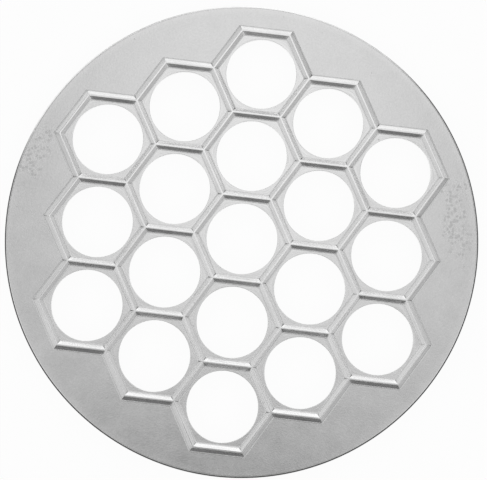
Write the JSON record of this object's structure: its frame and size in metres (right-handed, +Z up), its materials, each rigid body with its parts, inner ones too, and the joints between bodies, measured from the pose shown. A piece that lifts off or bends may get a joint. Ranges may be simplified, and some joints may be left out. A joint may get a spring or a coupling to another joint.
{
  "type": "pelmeni mold",
  "caption": "Round cast aluminium dumpling mold: raised six-sided ridges cut the dough, each cell has a round hole, and a turned-down rim carries the plate.",
  "frame": {"origin": "middle of the disc, on the plane of the rim's foot", "axes": "+Z up through the deck, with the cutting ridges on the +Z side; X runs along two of each cell's six sides"},
  "size_m": [0.2448, 0.2448, 0.0108],
  "materials": {
    "cast_aluminium": "satin cast metal"
  },
  "bodies": {
    "root": {"mold_plate": "cast_aluminium"}
  },
  "joints": []
}
